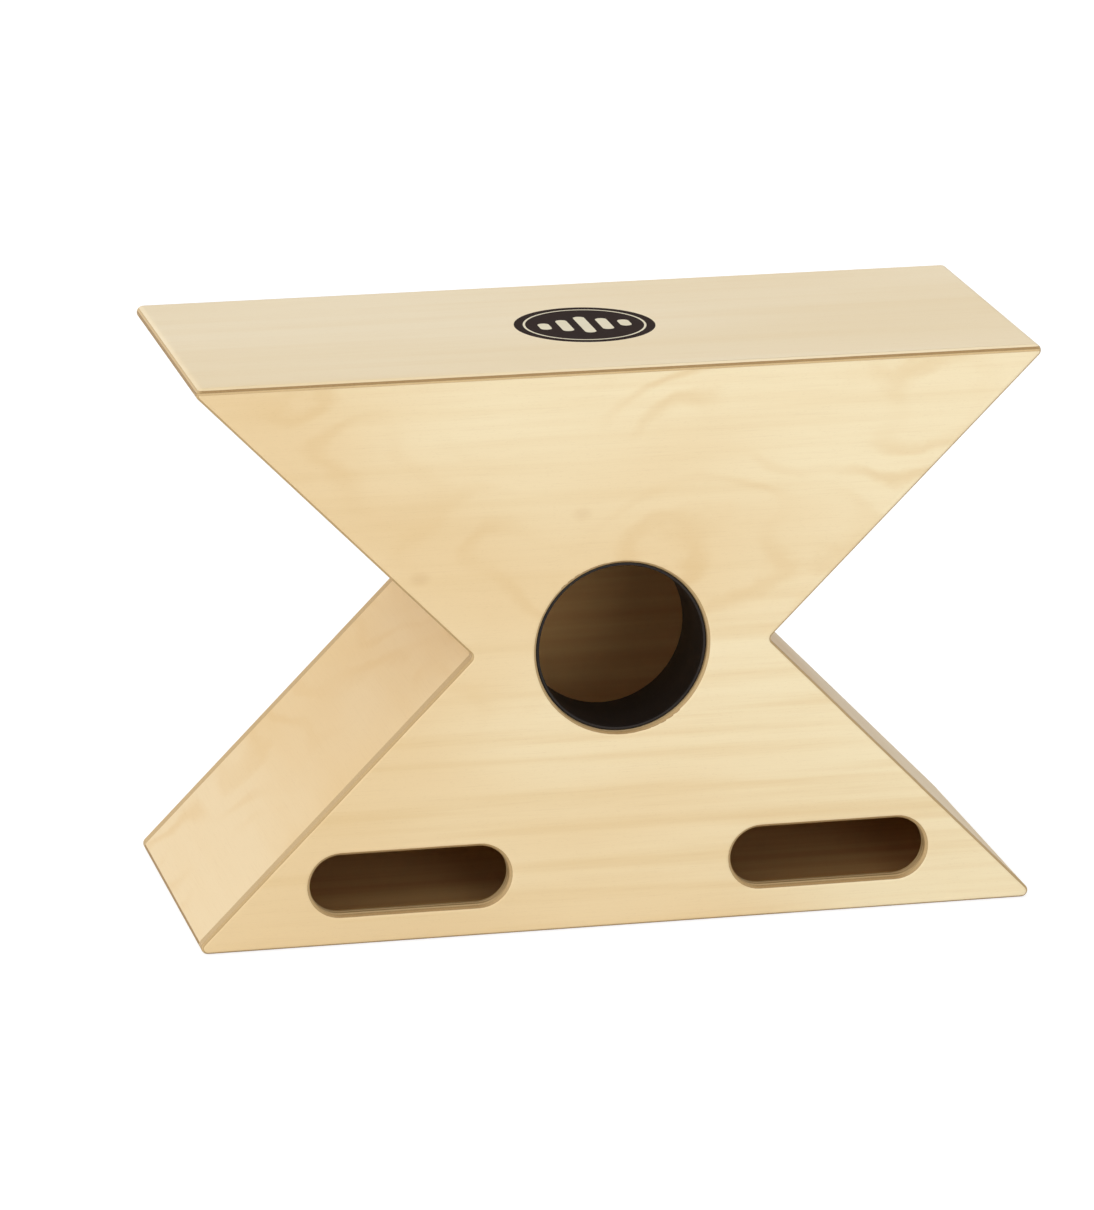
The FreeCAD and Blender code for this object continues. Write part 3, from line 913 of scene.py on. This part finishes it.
def seen_directly(finish):
    """1 for what the camera sees straight, in a mirror or through glass."""
    rays = add_node(finish, "LightPath", {})
    return reckon(finish, "MAXIMUM", rays.outputs["Is Camera Ray"],
                  reckon(finish, "MAXIMUM", rays.outputs["Is Glossy Ray"],
                         rays.outputs["Is Transmission Ray"]))


pure_white = (1.0, 1.0, 1.0, 1.0)
shaded = add_node(paper, "BsdfDiffuse",
                  {"Color": (seen_paper_tone, seen_paper_tone, seen_paper_tone, 1.0)})
white = add_node(paper, "Emission", {"Color": pure_white, "Strength": seen_paper_glow})
bright = add_node(paper, "AddShader", {0: shaded.outputs[0], 1: white.outputs[0]})
choice = add_node(paper, "MixShader", {0: seen_directly(paper), 1: paper_shader.outputs[0],
                                       2: bright.outputs[0]})
paper_links.new(choice.outputs[0], paper.node_tree.nodes["Material Output"].inputs["Surface"])
floor.data.materials.append(paper)

room_level = 1.13
dim_side = 0.25                 # how much of that comes from the right
dim_from, dim_until = 0.65, -0.05
room = bpy.data.worlds.new("white_room")
room.use_nodes = True
bpy.context.scene.world = room
room_light = room.node_tree.nodes["Background"]
room_light.inputs["Color"].default_value = pure_white
direction = add_node(room, "TexCoord", {}).outputs["Generated"]
rightwards = add_node(room, "SeparateXYZ", {0: direction}).outputs[0]
room_share = ease(room, rightwards, dim_from, dim_until)
room_strength = reckon(room, "MULTIPLY_ADD", room_share, room_level * (1 - dim_side),
                       room_level * dim_side)
room.node_tree.links.new(room_strength, room_light.inputs["Strength"])
room_seen = add_node(room, "Background", {"Color": pure_white, "Strength": 1.0})
room_choice = add_node(room, "MixShader", {0: seen_directly(room), 1: room_light.outputs[0],
                                           2: room_seen.outputs[0]})
room.node_tree.links.new(room_choice.outputs[0], room.node_tree.nodes["World Output"].inputs["Surface"])


def add_lamp(name, place, size, power):
    """A square softbox that looks at the middle of the object."""
    lamp = bpy.data.lights.new(name, "AREA")
    lamp.size = size
    lamp.energy = power
    holder = bpy.data.objects.new(name, lamp)
    bpy.context.scene.collection.objects.link(holder)
    holder.location = place
    holder.rotation_euler = (heart - Vector(place)).to_track_quat("-Z", "Y").to_euler()


add_lamp("softbox_left", (-2.4, -1.6, 1.8), size=1.8, power=5)
add_lamp("softbox_front", (0.6, -3.4, 0.7), size=1.4, power=23)

camera = bpy.data.cameras.new("camera")
camera_holder = bpy.data.objects.new("camera", camera)
bpy.context.scene.collection.objects.link(camera_holder)
camera_heading = -13.002        # degrees, from straight ahead
camera_dip = 16.486             # below the level
camera_roll = 0.266
camera_turn = (Matrix.Rotation(math.radians(camera_heading), 3, "Z")
               @ Matrix.Rotation(math.radians(90 - camera_dip), 3, "X")
               @ Matrix.Rotation(math.radians(camera_roll), 3, "Z"))
camera_holder.location = (-0.9575, -4.0415, 1.3993)
camera_holder.rotation_euler = camera_turn.to_euler()
camera.lens = 210.19
camera.shift_x = 0.0023
camera.shift_y = 0.0033
camera.clip_end = 100.0
bpy.context.scene.camera = camera_holder
bpy.context.scene.view_settings.view_transform = "Standard"
